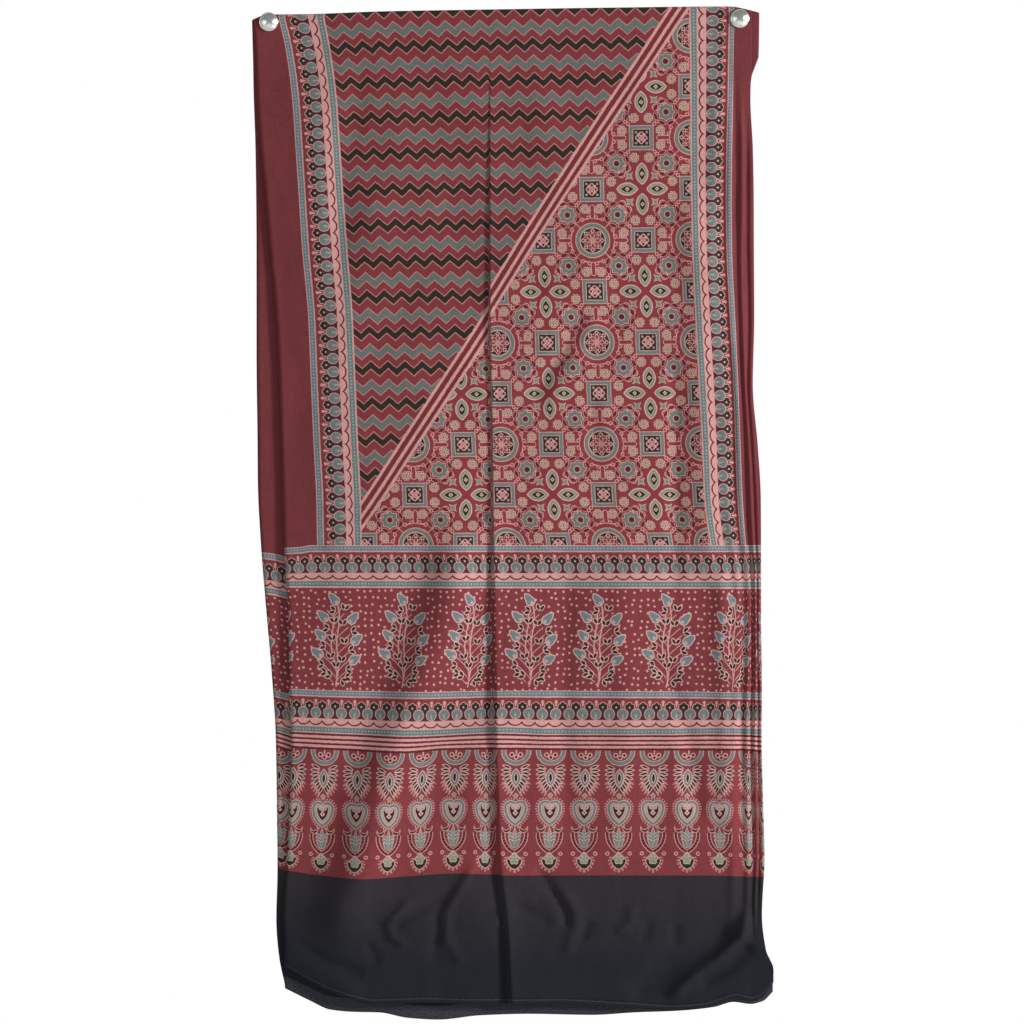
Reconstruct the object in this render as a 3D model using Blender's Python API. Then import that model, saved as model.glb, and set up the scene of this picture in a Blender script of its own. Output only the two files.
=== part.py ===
"""An ajrakh stole, folded once over its top edge and hung by two disc-headed pins.

Metres, with +Z up and the front of the cloth facing -Y. The origin lies midway between the pins,
on the plane that their shanks pierce, and a standoff is a distance in front of that plane.
"""

import math
from collections import namedtuple

import bmesh
import bpy
from mathutils import Vector

# The cut cloth is 0.56 wide and 2.17 long, and the fold leaves its rear half a little longer.
CLOTH_THICKNESS = 0.0011
FOLD_RADIUS = 0.0018
REAR_STANDOFF = 0.0040
FRONT_STANDOFF = 0.0165
FRONT_RAMP = 0.130

PIN_SPACING = 0.511
PIN_RISE = 0.0037
HEAD_RADIUS = 0.0103
HEAD_THICKNESS = 0.0046
HEAD_RIM = 0.0016
HEAD_CHAMFER = 0.0005
SHANK_RADIUS = 0.0009
SHANK_BEHIND = 0.009
SHANK_CLEARANCE = 0.0005
HEAD_GAP = 0.0004
PRESSED_RADIUS = 0.012
PRESSED_REACH = 0.050
CUTTER_REACH = 0.020
PIN_STEPS = 28
DOME_STEPS = 5
SHARP_ANGLE = 35.0

Outline = namedtuple("Outline", "z front_left front_right rear_left rear_right")
OUTLINE = (
    Outline(0.016, -0.2735, 0.2680, -0.2740, 0.2768),
    Outline(-0.044, -0.2700, 0.2686, -0.2725, 0.2759),
    Outline(-0.054, -0.2697, 0.2672, -0.2724, 0.2700),
    Outline(-0.075, -0.2690, 0.2655, -0.2720, 0.2662),
    Outline(-0.140, -0.2640, 0.2690, -0.2700, 0.2640),
    Outline(-0.250, -0.2542, 0.2703, -0.2690, 0.2640),
    Outline(-0.360, -0.2453, 0.2705, -0.2686, 0.2650),
    Outline(-0.402, -0.2440, 0.2694, -0.2682, 0.2650),
    Outline(-0.455, -0.2424, 0.2745, -0.2678, 0.2660),
    Outline(-0.500, -0.2408, 0.2785, -0.2675, 0.2680),
    Outline(-0.570, -0.2387, 0.2772, -0.2640, 0.2700),
    Outline(-0.640, -0.2343, 0.2783, -0.2583, 0.2700),
    Outline(-0.720, -0.2334, 0.2770, -0.2516, 0.2700),
    Outline(-0.780, -0.2313, 0.2778, -0.2480, 0.2720),
    Outline(-0.860, -0.2320, 0.2812, -0.2466, 0.2740),
    Outline(-0.920, -0.2365, 0.2820, -0.2462, 0.2760),
    Outline(-0.977, -0.2415, 0.2788, -0.2475, 0.2780),
    Outline(-1.008, -0.2405, 0.2822, -0.2455, 0.2810),
    Outline(-1.018, -0.2400, 0.2890, -0.2445, 0.2860),
    Outline(-1.030, -0.2395, 0.2922, -0.2420, 0.2900),
    Outline(-1.045, -0.2385, 0.2908, -0.2385, 0.2915),
    Outline(-1.085, -0.2365, 0.2905, -0.2350, 0.2905),
)

TopEdge = namedtuple("TopEdge", "across z")
TOP_EDGE = (
    TopEdge(0.00, 0.0005),
    TopEdge(0.03, 0.0058),
    TopEdge(0.12, 0.0066),
    TopEdge(0.26, 0.0095),
    TopEdge(0.46, 0.0115),
    TopEdge(0.70, 0.0135),
    TopEdge(0.93, 0.0148),
    TopEdge(0.975, 0.0118),
    TopEdge(1.00, 0.0092),
)

Hem = namedtuple("Hem", "across front rear")
HEM = (
    Hem(0.00, -1.0266, -1.0504),
    Hem(0.05, -1.0405, -1.0640),
    Hem(0.09, -1.0520, -1.0735),
    Hem(0.14, -1.0600, -1.0760),
    Hem(0.19, -1.0645, -1.0765),
    Hem(0.25, -1.0655, -1.0825),
    Hem(0.31, -1.0655, -1.0842),
    Hem(0.40, -1.0660, -1.0795),
    Hem(0.50, -1.0660, -1.0780),
    Hem(0.63, -1.0675, -1.0792),
    Hem(0.72, -1.0690, -1.0765),
    Hem(0.80, -1.0715, -1.0750),
    Hem(0.88, -1.0670, -1.0705),
    Hem(0.92, -1.0588, -1.0650),
    Hem(0.955, -1.0622, -1.0672),
    Hem(0.98, -1.0580, -1.0640),
    Hem(1.00, -1.0455, -1.0540),
)

# A crease runs through its points, and a depth below zero stands out as a ridge.
Crease = namedtuple("Crease", "name half_width depth points")
FRONT_CREASES = (
    Crease(
        "packing fold down the middle",
        0.0110,
        -0.0035,
        (
            (-0.0157, -0.050),
            (-0.0168, -0.300),
            (-0.0103, -0.500),
            (-0.0016, -0.790),
            (0.0038, -0.932),
            (0.0070, -1.062),
        ),
    ),
    Crease(
        "pull across the black end, left",
        0.0130,
        0.0038,
        ((-0.0287, -0.918), (-0.0710, -0.975), (-0.0634, -1.001), (-0.0493, -1.024)),
    ),
    Crease(
        "pull across the black end, far left",
        0.0140,
        0.0030,
        ((-0.1030, -0.951), (-0.1272, -0.981), (-0.1100, -1.000)),
    ),
    Crease(
        "pull across the black end, middle",
        0.0130,
        0.0036,
        ((0.0428, -0.930), (0.0590, -0.970), (0.0612, -0.990)),
    ),
    Crease(
        "trough above the kicked-out corner",
        0.0110,
        0.0050,
        ((0.2560, -0.978), (0.2280, -1.001), (0.2050, -1.018), (0.1850, -1.038)),
    ),
    Crease(
        "ridge of the kicked-out corner",
        0.0110,
        -0.0045,
        ((0.2616, -0.994), (0.2334, -1.018), (0.2118, -1.034), (0.1955, -1.052)),
    ),
    Crease(
        "curl along the lower left hem",
        0.0120,
        -0.0040,
        ((-0.2350, -1.018), (-0.1970, -1.040), (-0.1570, -1.052)),
    ),
)
REAR_CREASES = (
    Crease(
        "packing fold down the middle",
        0.0120,
        -0.0028,
        ((-0.0157, -0.050), (-0.0168, -0.300), (-0.0103, -0.500), (0.0070, -1.070)),
    ),
)

# The right edge is drawn in, and stands in ridges that run down it at these distances.
Ridge = namedtuple("Ridge", "from_edge half_width height top bottom")
EDGE_RIDGES = (
    Ridge(0.0355, 0.0050, -0.0040, -0.030, -1.000),
    Ridge(0.0250, 0.0052, 0.0030, -0.060, -1.010),
    Ridge(0.0160, 0.0040, -0.0036, -0.060, -1.020),
    Ridge(0.0065, 0.0045, 0.0028, -0.080, -0.990),
)
RIDGE_FADE = 0.060

Wave = namedtuple("Wave", "across_length down_length phase height")
FRONT_WAVES = (
    Wave(0.430, 1.500, 0.4, 0.0016),
    Wave(0.190, 0.900, 2.1, 0.0008),
)
REAR_WAVES = (Wave(0.380, 1.300, 1.2, 0.0008),)

# Spans of the grid, each an end as a share of the way and its number of steps.
Span = namedtuple("Span", "end steps")
COLUMNS = (
    Span(0.04, 2),
    Span(0.44, 9),
    Span(0.56, 7),
    Span(0.90, 8),
    Span(1.00, 9),
)
FRONT_ROWS = (Span(0.06, 7), Span(0.16, 7), Span(0.93, 20), Span(1.00, 5))
REAR_ROWS = (Span(0.07, 5), Span(0.85, 13), Span(1.00, 6))
FOLD_STEPS = 4

CLOTH_RED = (0.165, 0.022, 0.026, 1.0)
PLATED_STEEL = (0.74, 0.75, 0.72, 1.0)


def clear_scene():
    for obj in list(bpy.data.objects):
        bpy.data.objects.remove(obj, do_unlink=True)


def smooth(share):
    share = min(1.0, max(0.0, share))
    return share * share * (3.0 - 2.0 * share)


def read_table(rows, key, column, at):
    """A column of a table at a place between its rows, on a curve with no overshoot."""
    places = [getattr(row, key) for row in rows]
    values = [getattr(row, column) for row in rows]
    if places[0] > places[-1]:
        places.reverse()
        values.reverse()
    if at <= places[0]:
        return values[0]
    if at >= places[-1]:
        return values[-1]
    after = next(i for i, place in enumerate(places) if place > at)
    share = (at - places[after - 1]) / (places[after] - places[after - 1])
    eased = 0.5 * (share + smooth(share))
    return values[after - 1] + (values[after] - values[after - 1]) * eased


def grid_shares(spans):
    shares = [0.0]
    start = 0.0
    for span in spans:
        width = span.end - start
        shares += [start + width * (i + 1) / span.steps for i in range(span.steps)]
        start = span.end
    return shares


def distance_to_path(x, z, points):
    nearest = float("inf")
    for (ax, az), (bx, bz) in zip(points, points[1:]):
        run = Vector((bx - ax, bz - az))
        along = Vector((x - ax, z - az)).dot(run) / run.length_squared
        along = min(1.0, max(0.0, along))
        gap = Vector((x - ax, z - az)) - run * along
        nearest = min(nearest, gap.length)
    return nearest


def crease_depth(creases, x, z):
    total = 0.0
    for crease in creases:
        share = distance_to_path(x, z, crease.points) / crease.half_width
        total += crease.depth * math.exp(-share * share)
    return total


def wave_height(waves, x, z):
    total = 0.0
    for wave in waves:
        turn = x / wave.across_length + z / wave.down_length
        total += wave.height * math.sin(2.0 * math.pi * turn + wave.phase)
    return total


def ridge_height(from_edge, z):
    total = 0.0
    for ridge in EDGE_RIDGES:
        share = (from_edge - ridge.from_edge) / ridge.half_width
        fade = smooth((ridge.top - z) / RIDGE_FADE) * smooth((z - ridge.bottom) / RIDGE_FADE)
        total += ridge.height * fade * math.exp(-share * share)
    return total


def pin_places():
    half = PIN_SPACING / 2.0
    return {
        "hanging_pin_left": Vector((-half, 0.0, -PIN_RISE / 2.0)),
        "hanging_pin_right": Vector((half, 0.0, PIN_RISE / 2.0)),
    }


def freedom(x, z):
    """0 where a pin's head presses the cloth flat, and 1 well away from both pins."""
    free = 1.0
    for place in pin_places().values():
        gap = math.hypot(x - place.x, z - place.z) - PRESSED_RADIUS
        free = min(free, smooth(gap / PRESSED_REACH))
    return free


def fold_gap():
    """Distance between the two layers' middles where they leave the fold."""
    return 2.0 * FOLD_RADIUS


def rear_standoff(x, z, below_top):
    loose = wave_height(REAR_WAVES, x, z) - crease_depth(REAR_CREASES, x, z)
    return REAR_STANDOFF + loose * smooth(below_top / FRONT_RAMP)


def front_standoff(x, z, below_top, from_edge):
    pressed = REAR_STANDOFF + fold_gap()
    rise = (FRONT_STANDOFF - pressed) * smooth(below_top / FRONT_RAMP)
    shaped = wave_height(FRONT_WAVES, x, z) + ridge_height(from_edge, z)
    shaped -= crease_depth(FRONT_CREASES, x, z)
    return pressed + (rise + shaped * smooth(below_top / FRONT_RAMP)) * freedom(x, z)


def layer_point(across, down, layer):
    """A point of the front or rear layer, at shares of the way across and down it."""
    top = read_table(TOP_EDGE, "across", "z", across) - FOLD_RADIUS
    z = top + (read_table(HEM, "across", layer, across) - top) * down
    left = read_table(OUTLINE, "z", layer + "_left", z)
    right = read_table(OUTLINE, "z", layer + "_right", z)
    x = left + (right - left) * across
    if layer == "front":
        return Vector((x, -front_standoff(x, z, top - z, right - x), z))
    return Vector((x, -rear_standoff(x, z, top - z), z))


def fold_points(across):
    """The points of one column as it turns over the top, between the two layers."""
    start = layer_point(across, 0.0, "front")
    end = layer_point(across, 0.0, "rear")
    middle = (start + end) / 2.0
    points = []
    for step in range(1, FOLD_STEPS):
        angle = math.pi * step / FOLD_STEPS
        point = middle + (start - middle) * math.cos(angle)
        point.z += FOLD_RADIUS * math.sin(angle)
        points.append(point)
    return points


def cloth_column(across):
    front_shares = grid_shares(FRONT_ROWS)
    front = [layer_point(across, 1.0 - share, "front") for share in front_shares]
    rear = [layer_point(across, share, "rear") for share in grid_shares(REAR_ROWS)]
    return front + fold_points(across) + rear


def make_material(name, colour, roughness, metallic):
    material = bpy.data.materials.new(name)
    material.use_nodes = True
    shader = material.node_tree.nodes["Principled BSDF"]
    shader.inputs["Base Color"].default_value = colour
    shader.inputs["Roughness"].default_value = roughness
    shader.inputs["Metallic"].default_value = metallic
    return material


def add_object(name, mesh, material):
    obj = bpy.data.objects.new(name, mesh)
    bpy.context.scene.collection.objects.link(obj)
    mesh.materials.append(material)
    return obj


def make_cloth(material):
    """One sheet from the front hem, up over the fold and down to the rear hem."""
    bm = bmesh.new()
    columns = [
        [bm.verts.new(point) for point in cloth_column(across)]
        for across in grid_shares(COLUMNS)
    ]
    for left, right in zip(columns, columns[1:]):
        for row in range(len(left) - 1):
            bm.faces.new((left[row], right[row], right[row + 1], left[row + 1]))
    mesh = bpy.data.meshes.new("ajrakh_cloth")
    bm.to_mesh(mesh)
    bm.free()
    mesh.shade_smooth()
    cloth = add_object("ajrakh_cloth", mesh, material)
    thicken = cloth.modifiers.new("Thickness", "SOLIDIFY")
    thicken.thickness = CLOTH_THICKNESS
    thicken.offset = 0.0
    return cloth


def turned_mesh(name, profile):
    """A closed shape turned about Y, from a profile of (radius, standoff) points."""
    bm = bmesh.new()
    verts = [bm.verts.new((radius, -standoff, 0.0)) for radius, standoff in profile]
    edges = [bm.edges.new(pair) for pair in zip(verts, verts[1:])]
    bmesh.ops.spin(
        bm,
        geom=verts + edges,
        axis=(0.0, 1.0, 0.0),
        cent=(0.0, 0.0, 0.0),
        angle=2.0 * math.pi,
        steps=PIN_STEPS,
        use_merge=True,
    )
    bmesh.ops.remove_doubles(bm, verts=bm.verts, dist=1e-6)
    bmesh.ops.recalc_face_normals(bm, faces=bm.faces)
    mesh = bpy.data.meshes.new(name)
    bm.to_mesh(mesh)
    bm.free()
    mesh.shade_smooth()
    mesh.set_sharp_from_angle(angle=math.radians(SHARP_ANGLE))
    return mesh


def head_underside():
    return REAR_STANDOFF + fold_gap() + CLOTH_THICKNESS / 2.0 + HEAD_GAP


def pin_profile():
    """The pin's outline from the middle of its domed face to the tip of its shank."""
    under = head_underside()
    face = under + HEAD_THICKNESS
    rim = under + HEAD_RIM
    profile = []
    for step in range(DOME_STEPS + 1):
        angle = math.pi / 2.0 * step / DOME_STEPS
        radius = HEAD_RADIUS * math.sin(angle)
        profile.append((radius, rim + (face - rim) * math.cos(angle)))
    profile.append((HEAD_RADIUS, under + HEAD_CHAMFER))
    profile.append((HEAD_RADIUS - HEAD_CHAMFER, under))
    profile.append((SHANK_RADIUS, under))
    profile.append((SHANK_RADIUS, -SHANK_BEHIND))
    profile.append((0.0, -SHANK_BEHIND))
    return profile


def make_pins(material):
    mesh = turned_mesh("hanging_pin", pin_profile())
    mesh.materials.append(material)
    for name, place in pin_places().items():
        pin = bpy.data.objects.new(name, mesh)
        pin.location = place
        bpy.context.scene.collection.objects.link(pin)


def pierce(cloth):
    """Cuts the hole that each pin's shank makes through both layers."""
    radius = SHANK_RADIUS + SHANK_CLEARANCE
    ends = ((0.0, CUTTER_REACH), (radius, CUTTER_REACH), (radius, -CUTTER_REACH), (0.0, -CUTTER_REACH))
    mesh = turned_mesh("shank_hole", ends)
    for name, place in pin_places().items():
        cutter = bpy.data.objects.new(name + "_cutter", mesh)
        cutter.location = place
        cutter.hide_render = True
        cutter.display_type = "WIRE"
        bpy.context.scene.collection.objects.link(cutter)
        cut = cloth.modifiers.new(name, "BOOLEAN")
        cut.operation = "DIFFERENCE"
        cut.solver = "EXACT"
        cut.object = cutter


def main():
    clear_scene()
    cloth = make_cloth(make_material("printed_cloth", CLOTH_RED, 0.85, 0.0))
    make_pins(make_material("plated_steel", PLATED_STEEL, 0.2, 1.0))
    pierce(cloth)


main()
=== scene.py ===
import math

import bmesh
import bpy
import numpy as np
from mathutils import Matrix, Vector, noise


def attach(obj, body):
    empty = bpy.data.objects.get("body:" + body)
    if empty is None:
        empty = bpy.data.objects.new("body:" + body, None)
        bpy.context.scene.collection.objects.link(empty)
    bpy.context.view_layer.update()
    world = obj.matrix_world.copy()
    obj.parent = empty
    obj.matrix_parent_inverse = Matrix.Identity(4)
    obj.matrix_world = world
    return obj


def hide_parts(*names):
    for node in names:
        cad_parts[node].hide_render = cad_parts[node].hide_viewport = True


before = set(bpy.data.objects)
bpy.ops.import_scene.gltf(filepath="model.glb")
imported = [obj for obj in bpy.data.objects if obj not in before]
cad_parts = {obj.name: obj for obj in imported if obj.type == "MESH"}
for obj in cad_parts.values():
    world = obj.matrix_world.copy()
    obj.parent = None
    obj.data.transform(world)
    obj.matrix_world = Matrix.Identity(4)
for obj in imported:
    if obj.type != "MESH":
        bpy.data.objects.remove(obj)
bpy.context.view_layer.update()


# Colours are picked as hex, as in a colour wheel, and turned linear for the nodes.
def hexColour(text):
    parts = [int(text[i:i + 2], 16) / 255 for i in (1, 3, 5)]
    return tuple(p / 12.92 if p <= 0.04045 else ((p + 0.055) / 1.055) ** 2.4 for p in parts) + (1.0,)


def activate(obj):
    bpy.context.scene.collection.objects.link(obj)
    return obj


def meshPiece(bm, name):
    mesh = bpy.data.meshes.new(name)
    bm.to_mesh(mesh)
    bm.free()
    return activate(bpy.data.objects.new(name, mesh))


# Camera, square on to the cloth and far enough back to flatten it as a product photo does.
view = {"x": 0.0084, "z": -0.5334, "back": 6.0, "frameWidth": 1.109}
camera = activate(bpy.data.objects.new("camera", bpy.data.cameras.new("camera")))
camera.data.sensor_width = 36.0
camera.data.lens = 36.0 * view["back"] / view["frameWidth"]
camera.data.clip_end = 40.0
camera.location = (view["x"], -view["back"] - 0.0165, view["z"])
camera.rotation_euler = (math.radians(90), 0, 0)
bpy.context.scene.camera = camera
bpy.context.scene.view_settings.view_transform = "Standard"
print("camera set, lens", round(camera.data.lens, 1))


# One socket of a node tree, so that shader maths is written as sums.
class Thread:
    def __init__(self, tree, socket=None):
        self.tree = tree
        self.socket = socket

    def node(self, kind, settings=None, sockets=None, out=0):
        made = self.tree.nodes.new(kind)
        for name, value in (settings or {}).items():
            if name == "stops":
                stops = made.color_ramp.elements
                while len(stops) < len(value):
                    stops.new(1.0)
                for stop, (place, colour) in zip(stops, value):
                    stop.position = place
                    stop.color = colour
            else:
                setattr(made, name, value)
        for name, value in (sockets or {}).items():
            if isinstance(value, Thread):
                self.tree.links.new(value.socket, made.inputs[name])
            else:
                made.inputs[name].default_value = value
        return Thread(self.tree, made.outputs[out])

    def also(self, out):
        return Thread(self.tree, self.socket.node.outputs[out])

    def sum(self, operation, *values):
        return self.node("ShaderNodeMath", {"operation": operation}, dict(enumerate(values)))

    def __add__(self, other):
        return self.sum("ADD", self, other)

    def __radd__(self, other):
        return self.sum("ADD", other, self)

    def __sub__(self, other):
        return self.sum("SUBTRACT", self, other)

    def __rsub__(self, other):
        return self.sum("SUBTRACT", other, self)

    def __mul__(self, other):
        return self.sum("MULTIPLY", self, other)

    def __rmul__(self, other):
        return self.sum("MULTIPLY", other, self)

    def __abs__(self):
        return self.sum("ABSOLUTE", self)

    def least(self, other):
        return self.sum("MINIMUM", self, other)

    def most(self, other):
        return self.sum("MAXIMUM", self, other)

    # Folds a repeat in half: 0 on its middle line and half its pitch at its ends.
    def fold(self, half):
        return self.sum("PINGPONG", self, half)

    def repeat(self, half):
        return self.sum("WRAP", self, half, -half)

    def vector(self, operation, *values, out=0):
        return self.node("ShaderNodeVectorMath", {"operation": operation}, dict(enumerate(values)), out)

    def feed(self, shader, name):
        self.tree.links.new(self.socket, shader.inputs[name])

    # Distance to a point of the print, in print units.
    def far(self, place):
        return self.vector("DISTANCE", self, (inks(place[0]), inks(place[1]), 0.0), out=1)


# The print is laid out in millimetres, and its nodes work in units of 32 mm, which a ramp spans.
printUnit = 32.0


def inks(millimetres):
    return millimetres / printUnit


dyes = {name: hexColour(text) for name, text in {
    "plain": "#6d3236",
    "ground": "#743438",
    "bodyGround": "#7c3237",
    # painted shade: the zigzag field's ground and teal are the body's ground and teal painted darker, for
    # the dimmer light on the cloth's left
    "zigzagShadedGround": "#723136",
    "zigzagShadedTeal": "#5a625e",
    "maroon": "#5c2027",
    "slantRed": "#6b2b2e",
    "stem": "#4a242b",
    "pink": "#ba8a86",
    "palePink": "#c29a95",
    "dimPink": "#a8716e",
    "blush": "#c9b1ae",
    "beige": "#b09686",
    "greyPink": "#97827d",
    "teal": "#5f6f6c",
    "starTeal": "#606c66",
    "leafBlue": "#647275",
    "stripeTeal": "#627076",
    "greyGreen": "#79806f",
    "soot": "#2a261e",
    "black": "#232026",
    "dot": "#96a4a8",
    "endPanel": "#1d1f26",
    "endShade": "#15161b",
    "endWarm": "#2b282b",
    # painted light: the lighter grey of the rear hem, standing for light coming through its open weave
    "endOpenLitThrough": "#404147",
    "plate": "#e6e8e3",
    "plateShade": "#c6cac4",
}.items()}


# Bands of colour across a distance, each an outer edge in mm and a dye, or None where bare.
def bands(value, edges, reach=printUnit, soft=0.45):
    painted = [dyes[name] if name else None for edge, name in edges]
    seen = [i for i, colour in enumerate(painted) if colour]
    for i, colour in enumerate(painted):
        if colour is None:
            nearest = min(seen, key=lambda k: abs(k - i))
            painted[i] = painted[nearest][:3] + (0.0,)
    stops = [(0.0, painted[0])]
    for i, (edge, name) in enumerate(edges):
        after = painted[i + 1] if i + 1 < len(edges) else painted[i][:3] + (0.0,)
        stops.append((max(0.0, (edge - soft / 2) / reach), painted[i]))
        stops.append((min(1.0, (edge + soft / 2) / reach), after))
    return value.node("ShaderNodeValToRGB", {"stops": stops}, {0: value})


def over(base, ink, strength=None):
    cover = ink.also("Alpha") if strength is None else ink.also("Alpha") * strength
    return base.node("ShaderNodeMix", {"data_type": "RGBA"}, {0: cover, 6: base, 7: ink}, out=2)


def paint(base, value, edges, strength=None):
    return over(base, bands(value, edges), strength)


def leaf(spot, centre, tip, width):
    # a pointed leaf as the overlap of two discs; gives the distance and the radius of its outline
    half = math.hypot(tip[0] - centre[0], tip[1] - centre[1])
    radius = (half * half + width * width) / (2 * width)
    side = ((tip[1] - centre[1]) / half, -(tip[0] - centre[0]) / half)
    shift = radius - width
    one = (centre[0] + side[0] * shift, centre[1] + side[1] * shift)
    two = (centre[0] - side[0] * shift, centre[1] - side[1] * shift)
    return spot.far(one).most(spot.far(two)), radius


def leaves(spot, places, width, half):
    # several leaves of one size, each from a centre and a direction in degrees
    nearest = None
    for x, y, turn in places:
        run = (math.cos(math.radians(turn)) * half, math.sin(math.radians(turn)) * half)
        shape, radius = leaf(spot, (x, y), (x + run[0], y + run[1]), width)
        nearest = shape if nearest is None else nearest.least(shape)
    return nearest, radius


def drops(spot, places, body):
    # teardrops, each a disc drawn out to its tip; their outline lies at 10 mm
    nearest = None
    for x, y, tipX, tipY in places:
        back = 0.85 * body / math.hypot(tipX - x, tipY - y)
        heel = (x - (tipX - x) * back, y - (tipY - y) * back)
        middle = ((heel[0] + tipX) / 2, (heel[1] + tipY) / 2)
        shape, radius = leaf(spot, middle, (tipX, tipY), body * 0.8)
        shape = (shape - inks(radius - 10)).least(spot.far((x, y)) - inks(body - 10))
        nearest = shape if nearest is None else nearest.least(shape)
    return nearest


def dots(spot, places):
    nearest = spot.far(places[0])
    for place in places[1:]:
        nearest = nearest.least(spot.far(place))
    return nearest


def at(across, along):
    return across.node("ShaderNodeCombineXYZ", None, {0: across, 1: along})


# Border of ovals under arches, between two dotted stripes; inward runs from its outer edge.
border = {
    "pitch": 14.4, "sideStart": 787.2, "rowStart": 14.7, "beadPitch": 3.7, "beadStrength": 0.6,
    "archLobes": [(7.2, 14.4), (4.5, 16.2), (4.0, 19.0), (7.2, 18.0)],
}


def borderInks(inward, along):
    across = along.fold(inks(border["pitch"] / 2))
    spot = at(across, inward)
    colour = bands(inward * (printUnit / 48), [
        (1.1, "pink"), (6.2, "stripeTeal"), (7.7, "pink"), (31.0, "ground"),
        (40.3, "pink"), (45.9, "teal"), (48.0, "pink"),
    ], reach=48)
    scallop = spot.far((0, 29.18))
    lace = inward.sum("GREATER_THAN", inward, inks(31))
    colour = paint(colour, scallop, [(8.0, None), (9.5, "maroon")], lace)
    colour = paint(colour, dots(spot, border["archLobes"]), [(2.0, "soot"), (2.8, "pink")])
    colour = paint(colour, spot.far((7.2, 17.6)), [(1.0, "dot")])
    colour = paint(colour, inward, [(19.2, None), (30.7, "stem")])
    bud, radius = leaf(spot, (0, 13.6), (0, 17.4), 1.1)
    colour = paint(colour, bud, [(radius, "pink")])
    colour = paint(colour, spot.far((0, 12.0)), [(1.7, "pink")])
    oval = spot.vector("MULTIPLY", spot, (1.04, 1.0, 1.0)).far((0, 24.7))
    colour = paint(colour, oval, [(5.4, "teal"), (6.2, "pink")])
    vein, radius = leaf(spot, (0, 26.9), (0, 23.6), 1.1)
    colour = paint(colour, vein, [(radius, "greyPink")])
    folded = abs(inward - inks(23.35))
    beads = at(along.fold(inks(border["beadPitch"] / 2)), folded).far((0, 19.73))
    return paint(colour, beads, [(1.0, "dot")], border["beadStrength"])


# Zigzags of the upper left, their slope and repeat measured along the cloth.
zigzag = {"pitch": 18.56, "firstValley": 92.5, "slope": 0.894, "repeat": 38.7, "start": 1067.0}


def zigzagInks(across, along):
    side = (across - inks(zigzag["firstValley"])).fold(inks(zigzag["pitch"] / 2))
    rise = (along - side * zigzag["slope"] - inks(zigzag["start"])) * (printUnit / zigzag["repeat"])
    turn = rise.sum("FRACT", rise)
    # the ground and teal of the zigzags are painted darker than the tile's, as painted shade
    return bands(turn, [
        (1.4, "dimPink"), (8.9, "soot"), (10.2, "dimPink"), (18.1, "zigzagShadedGround"), (19.4, "dimPink"),
        (27.6, "zigzagShadedTeal"), (28.9, "dimPink"), (38.7, "zigzagShadedGround"),
    ], reach=zigzag["repeat"], soft=0.45)


# Slanting stripes between the two body prints, 12.3 mm either side of their middle.
slant = {"start": 88.6, "along": 533.8, "lean": 0.696, "half": 12.3}


def slantDistance(across, along):
    length = math.hypot(1, slant["lean"])
    middle = inks(slant["start"] - slant["lean"] * slant["along"] - slant["half"] * length)
    return (across - along * slant["lean"] - middle) * (1 / length)


def slantInks(colour, across, along):
    stripes = bands(slantDistance(across, along), [
        (3.0, None), (6.0, "pink"), (11.1, "slantRed"), (14.5, "pink"), (18.6, "slantRed"), (21.6, "pink"),
    ])
    return over(colour, stripes)


# Star and medallion tile of the lower right, folded to one eighth of its repeat.
tile = {
    "across": 111.0, "along": 109.7, "startAcross": 365.0, "startAlong": 496.2,
    "rosettes": [(34.3, 8.0), (47.4, 21.5)], "star": 27.75, "square": 55.5, "oval": 38.9, "smallStar": 41.3,
}


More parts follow.
